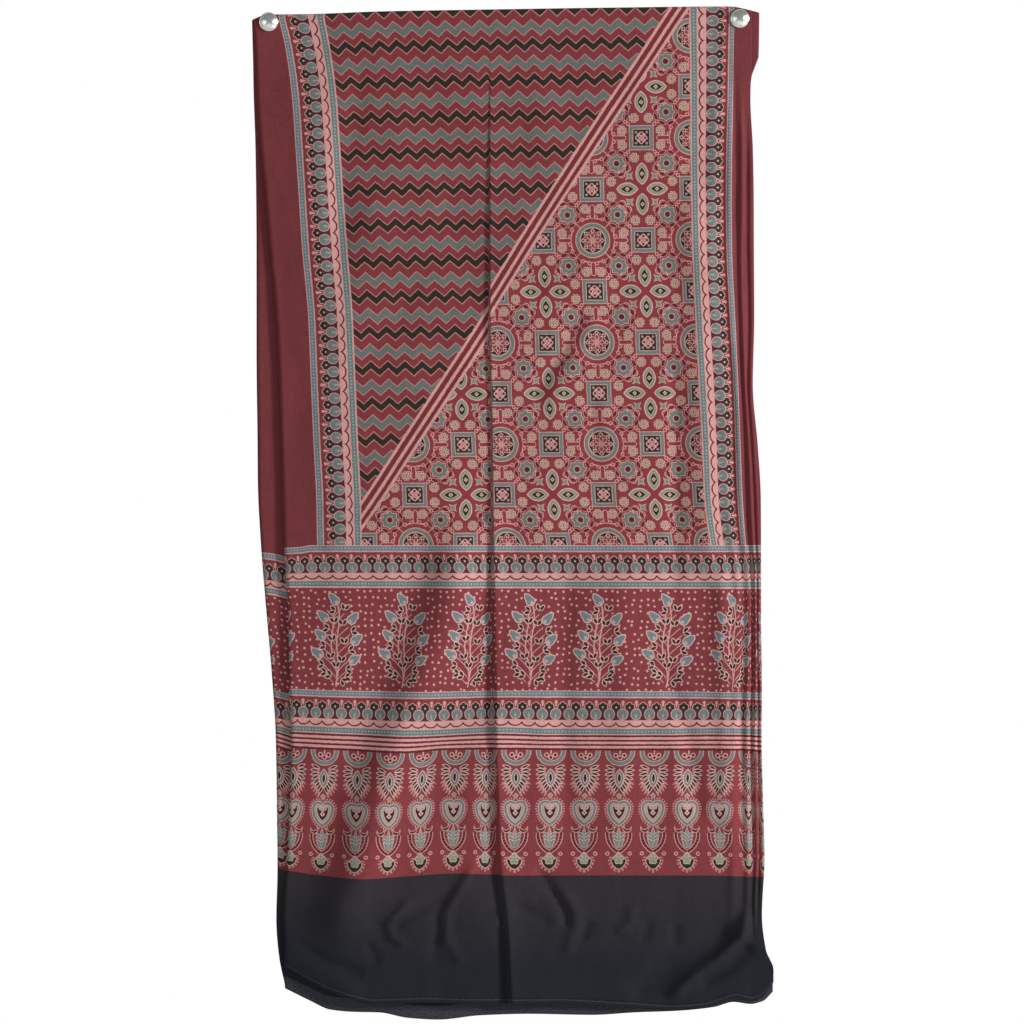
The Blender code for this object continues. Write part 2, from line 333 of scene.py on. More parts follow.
def tileInks(across, along):
    half = inks(tile["across"] / 2)
    first = (across - inks(tile["startAcross"])).fold(half)
    second = ((along - inks(tile["startAlong"])) * (tile["across"] / tile["along"])).fold(half)
    wide = first.most(second)
    narrow = first.least(second)
    spot = at(wide, narrow)
    seam = abs(wide - narrow).most((wide - inks(tile["star"])) * 4)
    colour = bands(seam, [(0.6, "pink"), (32.0, "bodyGround")])

    # joined stems, the small arches between the rosettes and their curls
    pastArch = (wide - inks(36.2)).most(inks(26) - wide).most(0.0)
    colour = paint(colour, at(pastArch, narrow).far((0, 0)), [(1.9, None), (2.7, "pink")])
    curls = dots(spot, [(25.0, 4.2), (22.6, 11.2), (40.9, 15.2), (38.2, 17.6), (31.2, 4.9)])
    colour = paint(colour, curls, [(1.2, "bodyGround"), (2.1, "pink")])
    tail, radius = leaf(spot, (23.2, 7.2), (22.6, 11.0), 0.7)
    colour = paint(colour, tail, [(radius, "pink")])
    scroll = spot.far((39.9, 33.4))
    colour = paint(colour, scroll, [(1.1, "pink"), (2.7, "bodyGround"), (3.7, "pink")])
    tail, radius = leaf(spot, (35.9, 30.4), (39.4, 29.4), 0.8)
    colour = paint(colour, tail, [(radius, "pink")])

    # rosettes, two in each eighth, mirrored about the line between them
    (ax, ay), (bx, by) = tile["rosettes"]
    gap = math.hypot(bx - ax, by - ay)
    runX, runY = (bx - ax) / gap, (by - ay) / gap
    midX, midY = (ax + bx) / 2, (ay + by) / 2
    lengthwise = spot.vector("DOT_PRODUCT", spot, (runX, runY, 0.0), out=1)
    lengthwise = lengthwise - inks(midX * runX + midY * runY)
    sideways = spot.vector("DOT_PRODUCT", spot, (-runY, runX, 0.0), out=1)
    sideways = sideways - inks(midY * runX - midX * runY)
    petalA = abs(abs(lengthwise) - inks(gap / 2))
    petalB = abs(sideways)
    petal = at(petalA.most(petalB), petalA.least(petalB))
    lobes = petal.far((3.65, 1.5)).least(petal.far((1.6, 0.0)))
    colour = paint(colour, lobes, [(1.62, "beige")])
    colour = paint(colour, petal.far((3.7, 1.5)), [(0.65, "maroon")])
    colour = paint(colour, petal.far((0, 0)), [(0.9, "maroon"), (1.8, "palePink"), (2.3, "maroon")])

    # eight-pointed star with its ring of dark leaves
    starA = abs(wide - inks(tile["star"]))
    starB = abs(narrow - inks(tile["star"]))
    star = at(starA.most(starB), starA.least(starB))
    lens, radius = leaf(star, (11.7, 4.85), (9.8, 9.3), 2.4)
    colour = paint(colour, lens, [(radius - 0.5, "maroon"), (radius, "pink")])
    points = starA.most(starB).least((starA + starB) * 0.7071)
    colour = paint(colour, points, [(6.9, "starTeal"), (7.7, "pink")])
    colour = paint(colour, star.far((0, 0)), [(1.0, "soot"), (3.1, "maroon"), (4.0, "pink")])

    # medallion
    middle = spot.far((0, 0))
    colour = paint(colour, middle, [
        (13.4, "soot"), (14.6, "pink"), (18.3, "starTeal"), (19.3, "pink"),
    ])
    petals, radius = leaf(spot, (5.9, 0), (9.4, 0), 2.2)
    slanted, radius = leaf(spot, (4.17, 4.17), (6.65, 6.65), 2.2)
    colour = paint(colour, petals.least(slanted), [(radius - 0.7, "bodyGround"), (radius, "pink")])
    gem = abs(wide - inks(10.4)) + narrow
    gem = gem.least(abs(wide - inks(7.4)).most(abs(narrow - inks(7.4))) * 1.41)
    colour = paint(colour, gem, [(1.5, "maroon"), (2.9, "pink")])
    colour = paint(colour, spot.far((8.6, 3.56)), [(0.8, "pink")])
    colour = paint(colour, middle, [(1.3, "greyGreen"), (2.5, "pink")])

    # square frame with its flower
    corner = abs(wide - inks(tile["square"]))
    frameIn = corner.most(narrow)
    colour = paint(colour, frameIn, [(8.9, "soot"), (9.7, "pink"), (12.8, "teal"), (13.6, "pink")])
    flower = at(corner, narrow)
    colour = paint(colour, flower.far((6.0, 6.0)), [(1.3, "greyPink")])
    colour = paint(colour, flower.far((3.3, 3.3)), [(1.5, "pink")])
    colour = paint(colour, dots(flower, [(4.2, 0), (0, 4.2)]), [(1.4, "maroon"), (2.6, "pink")])
    colour = paint(colour, flower.far((0, 0)), [(0.8, "maroon"), (1.7, "palePink")])

    # pointed ovals that make the crosses, and the small stars among them
    middleOval = (tile["square"], tile["oval"])
    ring = spot.far((middleOval[0] + 6.7, middleOval[1]))
    colour = paint(colour, ring, [
        (9.6, "soot"), (10.3, "beige"), (12.8, "greyGreen"), (13.9, "palePink"),
    ])
    eye, radius = leaf(spot, middleOval, (middleOval[0], middleOval[1] + 5.8), 3.4)
    colour = paint(colour, eye, [(radius, "soot")])
    gem = abs(wide - inks(middleOval[0])) + abs(narrow - inks(middleOval[1]))
    colour = paint(colour, gem, [(1.0, "maroon"), (2.5, "palePink")])
    smallA = abs(wide - inks(tile["smallStar"]))
    smallB = abs(narrow - inks(tile["smallStar"]))
    smallC = (smallA + smallB) * 0.7071
    smallD = abs(smallA - smallB) * 0.7071
    small = smallC + smallD + smallC.least(smallD) * 1.3
    return paint(colour, small, [(1.0, "maroon"), (5.1, "greyGreen"), (6.1, "palePink")])


# Row of flowering shrubs on a dotted ground; a leaf is its middle and its tip, a bud its middle and turn.
shrub = {
    "pitch": 74.0, "first": 51.0, "foot": 343.2, "dotSpacing": 7.5, "leafBody": 5.3,
    "budSpread": 31, "budHalf": 4.2,
    "leaves": [
        (0.7, 91.2, -5.7, 99.7), (17.9, 70.9, 25.5, 79.0), (21.7, 48.7, 29.6, 55.6),
        (19.5, 28.2, 27.8, 33.0), (-11.9, 73.1, -19.7, 80.5), (-15.2, 53.6, -22.4, 60.1),
        (-18.4, 34.1, -27.3, 40.1),
    ],
    "buds": [
        (11.0, 83.9, 80), (8.1, 67.7, 88), (20.0, 59.0, 15), (9.7, 48.2, 88), (17.3, 39.0, 15),
        (6.5, 29.2, 85), (14.0, 18.4, 10), (13.0, 10.3, 5), (8.1, 6.0, -35), (0.3, 23.3, 90),
        (-2.2, 80.9, 165), (-1.1, 69.9, 95), (-9.7, 61.7, 165), (-3.8, 51.4, 95), (-13.5, 43.3, 170),
        (-5.4, 32.5, 100), (-15.7, 23.3, 170), (-13.0, 15.2, 175), (-7.6, 12.5, 160),
    ],
}


def shrubInks(across, along):
    side = (across - inks(shrub["first"])).repeat(inks(shrub["pitch"] / 2))
    spot = at(side, along - inks(shrub["foot"]))
    speck = spot.node("ShaderNodeTexVoronoi", {"voronoi_dimensions": "2D"}, {
        "Vector": at(across, along), "Scale": printUnit / shrub["dotSpacing"], "Randomness": 0.55,
    })
    colour = bands(speck * (shrub["dotSpacing"] / printUnit), [(1.3, "pink"), (32.0, "ground")])
    clearing = spot.vector("MULTIPLY", spot, (2.4, 1.0, 1.0)).far((0, 50)) * 0.5
    colour = paint(colour, clearing, [(22.0, "ground")])

    # two wavy stems from one foot, and the curved twigs that leave them
    split = spot.node("ShaderNodeSeparateXYZ", None, {0: spot})
    height = split.also(1)
    sway = height.sum("SINE", height * 3.4) * inks(1.7)
    apart = ((height - inks(9)) * 0.12).most(0.0).least(inks(3.0))
    trunk = abs(abs(split - sway) - apart)
    trunk = trunk.most((height - inks(86)) * 4).most(height * -4)
    colour = paint(colour, trunk, [(0.75, "pink")])
    lean = split.sum("POWER", abs(split), 0.75) * 0.85
    turned = split.sum("GREATER_THAN", split, 0.0) * inks(3.9)
    twig = (height - lean - turned).fold(inks(4.4))
    reach = abs(split) + abs(height - inks(45)) * 0.28 - inks(19)
    twig = twig.most(reach * 3).most((inks(5) - height) * 4).most((height - inks(84)) * 3)
    colour = paint(colour, twig, [(0.55, "pink")])

    sepals = []
    for x, y, turn in shrub["buds"]:
        for lean in (-shrub["budSpread"], shrub["budSpread"]):
            angle = math.radians(turn + lean)
            rise = (math.cos(angle) - 0.75 * math.cos(math.radians(turn)),
                    math.sin(angle) - 0.75 * math.sin(math.radians(turn)))
            sepals.append((x + shrub["budHalf"] * rise[0], y + shrub["budHalf"] * rise[1], turn + lean))
    buds, radius = leaves(spot, sepals, 2.4, shrub["budHalf"])
    colour = paint(colour, buds, [(radius - 0.85, "soot"), (radius, "palePink")])
    big = drops(spot, shrub["leaves"], shrub["leafBody"])
    colour = paint(colour, big, [(9.0, "leafBlue"), (10.0, "palePink")])
    heels = [(x - (tipX - x) * 0.22, y - (tipY - y) * 0.22) for x, y, tipX, tipY in shrub["leaves"]]
    return over(colour, bands(dots(spot, heels), [(1.6, "blush")], soft=2.4), 0.6)


# Three thin stripes between the shrubs' lower border and the hearts.
stripe = {"top": 292.2}


def stripeInks(across, along):
    down = inks(stripe["top"]) - along
    return bands(down, [
        (2.3, "maroon"), (5.2, "pink"), (7.4, "maroon"), (10.2, "pink"), (12.4, "maroon"), (15.2, "pink"),
        (32, "maroon"),
    ])


# Columns of palmette, heart, leaf and shield, each side of its column a mirror of the other.
heart = {
    "pitch": 37.0, "first": 3.2, "top": 274.5, "tick": 0.094,
    "feathers": [
        (9.8, 18.6, -22), (10.6, 22.4, -4), (10.5, 26.2, 13), (9.8, 30.0, 27), (8.2, 34.0, 42),
        (6.6, 37.3, 50), (4.9, 40.2, 57), (3.0, 42.8, 63),
    ],
    "tips": [(13.0, 36.2, 38), (11.8, 39.8, 44), (10.0, 43.0, 50), (7.8, 46.0, 56), (5.0, 48.2, 62)],
    "fronds": [(3.7, 92.6, -38), (3.4, 96.6, -36), (2.9, 100.6, -40), (2.0, 104.2, -50), (0.0, 90.6, 90)],
}


def heartInks(across, along):
    side = (across - inks(heart["first"])).fold(inks(heart["pitch"] / 2))
    down = inks(heart["top"]) - along
    spot = at(side, down)
    bowl = spot.far((0, 1.1))
    colour = bands(bowl, [(10.8, "ground"), (11.6, "pink"), (15.3, "teal"), (16.2, "pink"), (32, "ground")])
    stalk = side.most((down - inks(4)) * 4)
    colour = paint(colour, stalk, [(0.8, "pink")])
    colour = paint(colour, dots(spot, [(4.6, 5.4), (0, 8.0)]), [(1.5, "soot"), (2.8, "pink")])

    # palmette of feathers round a pointed eye
    tips, radius = leaves(spot, heart["tips"], 1.2, 4.0)
    colour = paint(colour, tips, [(radius, "dimPink")])
    feathers, radius = leaves(spot, heart["feathers"], 1.9, 5.8)
    colour = paint(colour, feathers, [(radius - 0.8, "soot"), (radius, "palePink")])
    colour = paint(colour, spot.far((-7.3, 30.9)), [
        (8.9, "black"), (9.7, "palePink"), (11.8, "teal"), (12.7, "palePink"),
    ])
    link = side + abs(down - inks(50.4))
    colour = paint(colour, link, [(2.4, "greyGreen"), (3.4, "pink")])

    # heart, from its upper lobe and the arc down to its tip, with ticks all round
    level = inks(63.2)
    lobe = at(side, down.least(level)).far((5.0, 63.2)) - inks(8.0) - (down - level).most(0.0)
    field = lobe.most(spot.far((-10.14, 63.2)) - inks(23.14)) + inks(15)
    spread = down.sum("ARCTAN2", side, down - inks(67)).fold(heart["tick"])
    ticks = spread.sum("LESS_THAN", spread, heart["tick"] * 0.55)
    colour = paint(colour, field, [(15.5, None), (18.0, "dimPink")], ticks)
    colour = paint(colour, field, [
        (8.2, "soot"), (9.0, "pink"), (11.0, "greyPink"), (11.6, "palePink"), (14.3, "teal"),
        (15.0, "palePink"),
    ])
    trefoil = dots(spot, [(2.5, 63.2), (0, 60.8), (0, 64.6)])
    colour = paint(colour, trefoil, [(1.5, "greyPink"), (2.1, "palePink")])
    gem = side + abs(down - inks(69.2))
    colour = paint(colour, gem, [(1.2, "maroon"), (3.0, "palePink")])

    # frond between two horns
    horn = (spot.far((9.0, 86.0)) - inks(4.9)).most(inks(3.8) - spot.far((9.5, 83.4))) + inks(10)
    colour = paint(colour, horn, [(9.2, "soot"), (10.0, "pink")])
    fronds, radius = leaves(spot, heart["fronds"], 1.9, 4.6)
    colour = paint(colour, fronds, [(radius - 0.6, "leafBlue"), (radius, "palePink")])
    midrib = side.most(abs(down - inks(98.5)) - inks(8.2))
    colour = paint(colour, midrib, [(0.8, "greyGreen")])

    # chain of beads and the shield that hangs in it
    chain = spot.far((-8.88, 92.65))
    below = down.sum("GREATER_THAN", down, inks(91))
    links = bands(chain, [(18.8, None), (19.6, "pink"), (22.6, "ground"), (23.4, "pink")])
    colour = over(colour, links, below)
    swing = down.sum("ARCTAN2", down - inks(92.65), side + inks(8.88)).fold(0.083) * inks(21.1)
    beads = at(abs(chain - inks(21.1)), swing).far((0, 0))
    colour = paint(colour, beads, [(1.15, "soot")], below)
    shield = (spot.far((-3.0, 120)) - inks(11.4)).most((side * 1.01 + inks(111.5) - down) * 0.7) + inks(15)
    fan = down.sum("ARCTAN2", side, down - inks(117)).fold(heart["tick"] * 1.6)
    fringe = fan.sum("LESS_THAN", fan, heart["tick"] * 0.9) * down.sum("GREATER_THAN", down, inks(117))
    colour = paint(colour, shield, [(15.4, None), (18.0, "dimPink")], fringe)
    colour = paint(colour, shield, [(14.2, "soot"), (15.0, "palePink")])
    crown = dots(spot, [(0, 115.6), (3.4, 118.4), (0, 119.6), (1.7, 122.4)])
    colour = paint(colour, crown, [(1.9, "greyGreen"), (2.5, "palePink")])
    return paint(colour, spot.far((12.0, 113.6)), [(1.1, "ground"), (2.2, "pink")])


# Weave, dye and handle of the cloth, shared by every part of the print.
cloth = {
    "threads": 0.00042, "weaveBump": 0.00006, "unevenDye": 0.26, "fibre": 0.5, "mottle": 0.34,
    "roughness": 0.80, "sheen": 0.03, "specular": 0.1, "rumple": 0.0022, "unevenPrint": 0.0009,
    "slubFine": 1500.0, "slubLong": 70.0, "cloudScale": 9.0, "mottleScale": 420.0, "rumpleScale": 34.0,
}


def noiseOver(place, scale, detail, roughness=0.5, distortion=0.0):
    return place.node("ShaderNodeTexNoise", None, {
        "Vector": place, "Scale": scale, "Detail": detail, "Roughness": roughness, "Distortion": distortion,
    })


def finishCloth(material, colour):
    tree = material.node_tree
    shader = tree.nodes["Principled BSDF"]
    maker = Thread(tree)
    place = maker.node("ShaderNodeTexCoord", out="Object")
    flat = maker.node("ShaderNodeUVMap", {"uv_map": "flat"})
    fine, long = cloth["slubFine"], cloth["slubLong"]
    cloudy = noiseOver(place, cloth["cloudScale"], 4.0, 0.6)
    slub = noiseOver(flat.vector("MULTIPLY", flat, (fine, long, 1.0)), 1.0, 2.0)
    weft = noiseOver(flat.vector("MULTIPLY", flat, (long, fine, 1.0)), 1.0, 2.0)
    mottle = noiseOver(flat, cloth["mottleScale"], 3.0)
    split = maker.node("ShaderNodeSeparateXYZ", None, {0: flat})
    turn = math.pi / cloth["threads"]
    weave = split.sum("SINE", split * turn) * split.sum("SINE", split.also(1) * turn)
    shade = (cloudy - 0.5) * cloth["unevenDye"] + (slub + weft - 1.0) * cloth["fibre"] + weave * 0.045 + 1.0
    shade = shade + (mottle - 0.5) * cloth["mottle"]
    dyed = colour.node("ShaderNodeVectorMath", {"operation": "SCALE"}, {0: colour, "Scale": shade})
    dyed.feed(shader, "Base Color")
    ((slub + weft) * 0.06 + cloth["roughness"]).feed(shader, "Roughness")
    tall = place.vector("MULTIPLY", place, (1.0, 1.0, 0.55))
    rumple = noiseOver(tall, cloth["rumpleScale"], 3.0, distortion=0.4)
    height = weave * cloth["weaveBump"] + rumple * cloth["rumple"] + (slub + weft) * 0.00005
    relief = maker.node("ShaderNodeBump", None, {"Height": height, "Strength": 0.7, "Distance": 1.0})
    relief.feed(shader, "Normal")
    shader.inputs["Sheen Weight"].default_value = cloth["sheen"]
    shader.inputs["Sheen Roughness"].default_value = 0.5
    shader.inputs["Specular IOR Level"].default_value = cloth["specular"]


def clothMaterial(name, colouring):
    material = bpy.data.materials.new(name)
    material.use_nodes = True
    maker = Thread(material.node_tree)
    flat = maker.node("ShaderNodeUVMap", {"uv_map": "flat"})
    wobble = maker.node("ShaderNodeTexNoise", {"noise_dimensions": "2D"}, {
        "Vector": flat, "Scale": 260.0, "Detail": 2.0,
    }, out=1)
    moved = flat.vector("ADD", flat, wobble.node("ShaderNodeVectorMath", {"operation": "SCALE"}, {
        0: wobble.vector("SUBTRACT", wobble, (0.5, 0.5, 0.5)), "Scale": cloth["unevenPrint"],
    }))
    toInks = 1000 / printUnit
    spread = maker.node("ShaderNodeVectorMath", {"operation": "SCALE"}, {0: moved, "Scale": toInks})
    across = spread.node("ShaderNodeSeparateXYZ", None, {0: spread})
    finishCloth(material, colouring(across, across.also(1)))
    return material


def plainInks(across, along):
    return bands(across * 0.01, [(32, "plain")])


# The black end, with its turned hem, and the open weave of the rear layer's own hem, painted lighter grey
# as painted light coming through the thin cloth from behind.
blackEnd = {"turn": 6.2, "stitchLine": 4.4, "stitchPitch": 3.2, "stitchStrength": 0.15}


def endInks(across, along):
    # the black end turns lighter and warmer from its hem towards the hearts above it
    colour = bands(along * (printUnit / 160), [(80, "endPanel"), (160, "endWarm")], reach=160, soft=80)
    # a thin painted shade line along the turn of the hem
    colour = paint(colour, along, [(blackEnd["turn"], None), (blackEnd["turn"] + 0.7, "endShade")])
    line = abs(along - inks(blackEnd["stitchLine"])) * 2.6
    stitch = across.fold(inks(blackEnd["stitchPitch"] / 2)).most(line)
    return paint(colour, stitch, [(0.9, "dot")], blackEnd["stitchStrength"])


# the open weave of the rear hem, its gaps painted lighter grey as painted light shining through from behind
def openWeaveLitThroughInks(across, along):
    gauze = across.node("ShaderNodeTexNoise", {"noise_dimensions": "2D"}, {
        "Vector": at(across * 30.0, along * 14.0), "Scale": 1.0, "Detail": 2.0,
    })
    return bands(gauze, [(14.5, "endPanel"), (32, "endOpenLitThrough")], soft=14)


def sideInks(across, along):
    # both side borders are one, folded about the middle of the cloth
    inward = inks(280 - 37) - abs(across - inks(280))
    return borderInks(inward, along - inks(border["sideStart"]))


def upperInks(across, along):
    return borderInks(inks(495.9) - along, across - inks(border["rowStart"]))


def lowerInks(across, along):
    return borderInks(inks(339.4) - along, across - inks(border["rowStart"]))


def mixedInks(across, along):
    distance = slantDistance(across, along)
    side = distance.sum("GREATER_THAN", distance, inks(slant["half"]))
    both = distance.node("ShaderNodeMix", {"data_type": "RGBA"}, {
        0: side, 6: zigzagInks(across, along), 7: tileInks(across, along),
    }, out=2)
    return slantInks(both, across, along)


# The stole, in millimetres: flat sizes first, then how it hangs.
stole = {
    "width": 560.0, "length": 2179.0, "frontFold": 1074.2, "rearFold": 1079.8, "thickness": 0.0006,
    "foldRadius": 1.8, "rearStandoff": 4.0, "frontStandoff": 15.8, "frontRamp": 130.0, "openHemLitThrough": 15.0,
    "edgeStandoff": 0.2, "edgeRamp": 75.0,
}

# Columns of the weave, as ends in mm across and their steps, set on the print's own edges.
columnSpans = [(37, 8), (84.6, 11), (222, 30), (262, 22), (475.4, 46), (523, 20), (560, 20)]
rowSpans = [
    (6.2, 2), (137.5, 56), (274.5, 28), (292.2, 3), (339.2, 9), (448.2, 22), (495.9, 9), (1000, 78),
    (1074.2, 12), (1079.8, 6), (1089.5, 3), (1683.1, 30), (1730.8, 4), (1839.8, 6), (1886.8, 4),
    (1904.5, 2), (2041.5, 8), (2164, 8), (2179, 3),
]

# Where the sheet hangs is read off the photo, in its pixels; these turn a place into mm.
reading = {"pixel": 1.083, "middle": 504.25, "pins": 19.5}


def acrossOf(x):
    return (x - reading["middle"]) * reading["pixel"]


def heightOf(y):
    return (reading["pins"] - y) * reading["pixel"]


# How far across the front's columns lie, each named by its flat place, by height: y, then x of each.
guides = [0, 37, 84.6, 160, 222, 365, 420, 475.4, 523, 560]
guideRows = [
    (16, 252.5, 278, 324, 394.5, 452.5, 586.5, 638, 689.5, 734.7, 752),
    (50, 255.2, 285.6, 330.4, 400, 457.4, 588, 639.5, 690, 734, 752),
    (99, 256.5, 292, 336.8, 406.4, 463.7, 589.5, 640.5, 690.3, 733, 750.6),
    (149, 260.7, 295.5, 340.3, 409.9, 467.2, 591, 641, 690.5, 732, 753),
    (199, 265.6, 298.8, 343.6, 413.2, 470.5, 592, 642, 691, 731.5, 753.7),
    (249, 269.8, 302, 347.5, 417, 474.2, 592.8, 643, 692, 732, 753.9),
    (316, 276, 308, 352.7, 422.3, 479.6, 596, 646.5, 695, 735, 754.2),
    (383, 279.5, 310.8, 355.6, 425.2, 482.4, 598.5, 649, 698.5, 738, 752.7),
    (449, 281.4, 313.7, 358.5, 428, 485.2, 601.5, 652, 702, 740.5, 758),
    (499, 282.7, 316.2, 361, 430.4, 487.5, 604, 654.5, 704, 742.5, 760.8),
    (543, 284, 317, 362, 431.5, 487.5, 609, 660, 710, 745.5, 761),
    (572, 285.5, 319.2, 364.2, 433.5, 489, 614, 665.5, 716, 748.5, 761),
    (609, 288, 322, 366, 434, 488.5, 615.2, 666, 717, 749, 761),
    (683, 289, 323, 366, 433.3, 486.5, 614.5, 665.5, 717, 749.5, 761.8),
    (739, 291, 322, 365, 431.5, 485, 613, 664, 715, 749.5, 761.5),
    (800, 289.5, 320, 363.6, 428.8, 483.1, 611.4, 662, 712, 749.4, 763),
    (859, 287, 318, 362, 427.5, 482.5, 611, 662, 712, 750, 764.5),
    (915, 283, 315, 360, 427, 482.5, 611.5, 662, 712, 749, 762),
    (950, 283.5, 315, 360, 427, 483, 612, 663, 713, 751, 766),
    (970, 284.5, 315.5, 360.5, 427.5, 483.5, 613, 664, 714.5, 756, 773.6),
    (990, 285, 316.5, 361.5, 428.5, 484, 614, 665.5, 716, 758, 773.4),
    (1010, 286, 317, 362, 429, 484.5, 614.5, 666, 716.5, 758, 772),
]

# The pressed pleat down the middle: y, x of its edge, its flat place, the cloth tucked behind it, the width
# of its steep side and the share of its full height.
middlePleat = {
    "proud": 4.8, "proudReach": 18.0, "sunk": 3.6, "sunkReach": 15.0,
    "rows": [
        (16, 490, 262, 0, 1, 0), (50, 490, 258, 1.5, 1, 0.05), (100, 490, 253, 5, 1.4, 0.15),
        (199, 490, 247, 8, 2, 0.35), (316, 490.2, 239.5, 12.5, 2.2, 0.55),
        (441, 492.5, 236.6, 13.8, 2.4, 0.45), (499, 493, 235, 15, 2.8, 0.5),
        (572, 494, 230.6, 6.5, 4.2, 0.9), (683, 495.5, 233.5, 3.5, 5.2, 1),
        (740, 496, 237, 3.5, 5.4, 1), (800, 498, 240, 3.5, 5.6, 1), (860, 500, 244, 3, 6, 1),
        (923, 507, 248, 2.5, 5.4, 1), (1010, 511.5, 252, 2, 5.4, 1),
    ],
}

# Lines of the print that lie level when flat: their place along the cloth, then x and y along each.
levelLines = [
    (0, [(284, 967.6), (306.6, 980), (329, 991), (351, 998.7), (373, 1004), (426, 1002.7), (466, 1004),
         (560, 1004), (597, 1006), (632, 1008), (672, 1010.7), (705, 1008), (720, 1003.5), (734.6, 998.5),
         (749.5, 1001.6), (762, 997), (772, 983)]),
    (137.5, [(287, 871), (310, 874.5), (345, 877.5), (365, 878.5), (405, 876.5), (455, 873.5), (490, 874.5),
             (520, 875.5), (715, 875.5), (740, 876.5), (764, 877)]),
    (274.5, [(291, 748.2), (345, 750.8), (405, 753), (445, 750.2), (500, 749.7), (580, 750.6), (730, 750.6),
             (760, 752.2)]),
    (292.2, [(291, 732), (345, 734.3), (415, 736.5), (480, 734), (500, 733.5), (550, 735.2), (670, 735.2),
             (715, 734.5), (760, 735.5)]),
    (339.2, [(290, 688.9), (330, 690.3), (420, 691.6), (520, 690.6), (650, 691.2), (760, 693)]),
    (448.2, [(286, 587.8), (520, 588.4), (760, 589)]),
    (495.9, [(284, 548), (300, 547), (311, 545.2), (500, 545.2), (760, 545.2)]),
]

# The folded top edge and the rear's hem as flat place and y, then the rear's sides as y, left and right.
topEdge = [
    (0, 19), (17, 14.1), (67, 13.4), (146, 10.7), (258, 8.9), (392, 7), (521, 5.8), (546, 8.6), (560, 11),
]
rearHem = [
    (0, 989.4), (28, 1002), (50, 1010.7), (78, 1013), (106, 1013.5), (140, 1019), (174, 1020.6),
    (224, 1016.3), (280, 1014.9), (353, 1016), (403, 1013.5), (448, 1012), (493, 1008), (515, 1003),
    (535, 1005), (549, 1002), (560, 992.7),
]
rearSides = [
    (5, 251, 760), (60, 252.5, 759), (70, 252.7, 753.6), (89, 253, 750), (149, 255, 748), (250, 256, 748),
    (352, 256, 749), (440, 257, 750), (481, 257.3, 751.7), (546, 260.5, 753.6), (610, 265.7, 753.6),
    (684, 272, 753.6), (740, 275.3, 755.4), (814, 276.5, 757.3), (869, 277, 759), (922, 275.7, 761),
    (950, 277.6, 763.7), (971, 280.8, 772), (984, 284, 773.4), (1021, 287, 772.5),
]

# Creases of the front: half width and depth in mm, then their x and y; a depth below zero stands out.
creases = [
    # short wrinkles of the black end
    (3.6, -4.0, [(478, 862), (468, 875), (446, 913), (447, 932), (441, 950)]),
    (8, 2.6, [(458, 882), (438, 914), (437, 940), (434, 968)]),
    (4.0, -4.4, [(413, 896), (388, 924), (392, 936), (408, 947)]),
    (6, 3.4, [(448, 894), (417, 912), (397, 924), (362, 927)]),
    (4.5, 4.4, [(535, 866), (546, 880), (565, 910), (568, 931)]),
    (6, -3.2, [(556, 880), (577, 914), (573, 932), (566, 960)]),
    (4.5, -3.0, [(447, 938), (462, 964)]),
    (4.5, 3.4, [(366, 941), (378, 963)]),
    (5, 3.4, [(590, 920), (581, 941)]),
    (4.5, -3.4, [(633, 904), (631, 922), (616, 934)]),
    (4.5, 3.0, [(649, 919), (643, 944)]),
    (5, 2.6, [(675, 922), (675, 948)]),
    (5, -2.6, [(456, 924), (480, 925), (503, 922)]),
    (6, 2.6, [(513, 905), (532, 914), (553, 926)]),
    (6.5, -7.5, [(747, 905), (741, 938), (717, 959), (690, 979), (668, 1000)]),
    (13, 6.0, [(736, 922), (703, 950), (660, 976), (626, 996)]),
    (8, 4.6, [(753, 943), (727, 969), (697, 984)]),
    (12, -4.2, [(284.5, 956), (322, 980), (366, 996)]),
    (7, 3.4, [(290, 939), (329, 963), (366, 976)]),
    # wide slanting fold of the left, from the body's foot to the hearts
    (27, -12.8, [(468, 520), (455, 562), (437, 645), (408, 712), (382, 784), (366, 862), (342, 905),
                 (330, 948)]),
    (26, 4.8, [(428, 540), (414, 585), (392, 651), (356, 730), (332, 800), (316, 866), (298, 905)]),
    (24, 3.4, [(500, 600), (484, 690), (450, 770), (428, 850)]),
    # wrinkles just above the upper border
    (4.5, 4.6, [(326, 519), (384, 515), (426, 518), (470, 520), (494, 516)]),
    (4.5, -4.0, [(322, 526), (384, 521), (426, 525), (470, 527), (494, 524)]),
    (5, 3.8, [(281, 533), (311, 543), (329, 544)]),
    (4.5, -3.2, [(281, 527), (311, 537.5), (329, 538.4)]),
    # soft folds of the body and the right
    (16, 3.4, [(366, 38), (343, 167), (338, 324)]),
    (8, 3.4, [(586, 304), (579, 319), (556, 362), (528, 404)]),
    (12, -3.0, [(600, 310), (570, 372), (548, 412)]),
    (7, 3.0, [(590, 400), (597, 458)]),
    (6, 2.6, [(524, 280), (545, 292)]),
    (7, 3.2, [(674, 352), (676, 470), (673, 604)]),
    (16, -5.2, [(690, 170), (698, 300), (704, 430), (711, 600)]),
    (12, 3.0, [(569, 555), (561.5, 721), (572.6, 855)]),
    (16, -3.0, [(620, 560), (626, 700), (618, 860)]),
    (9, 4.0, [(659, 657), (685, 721), (702, 832)]),
    (10, -4.0, [(722, 560), (724, 700), (728, 860)]),
]
# Pleats of the gathered right edge, as flat place, half width, height, top and bottom.
pleats = [
    (501, 5.5, -2.0, -30, -1010), (511, 5.0, 1.4, -60, -1000), (520, 5.0, -1.9, -60, -1020),
    (530, 4.5, 1.7, -40, -1010), (539, 4.0, -2.2, -70, -1000), (547, 4.0, 1.5, -90, -990),
    (554, 3.5, -1.1, -120, -960),
]
pressed = {"radius": 12.0, "reach": 50.0, "pins": [(-255.5, -1.85), (255.5, 1.85)]}


def smooth(share):
    share = np.clip(share, 0, 1)
    return share * share * (3 - 2 * share)


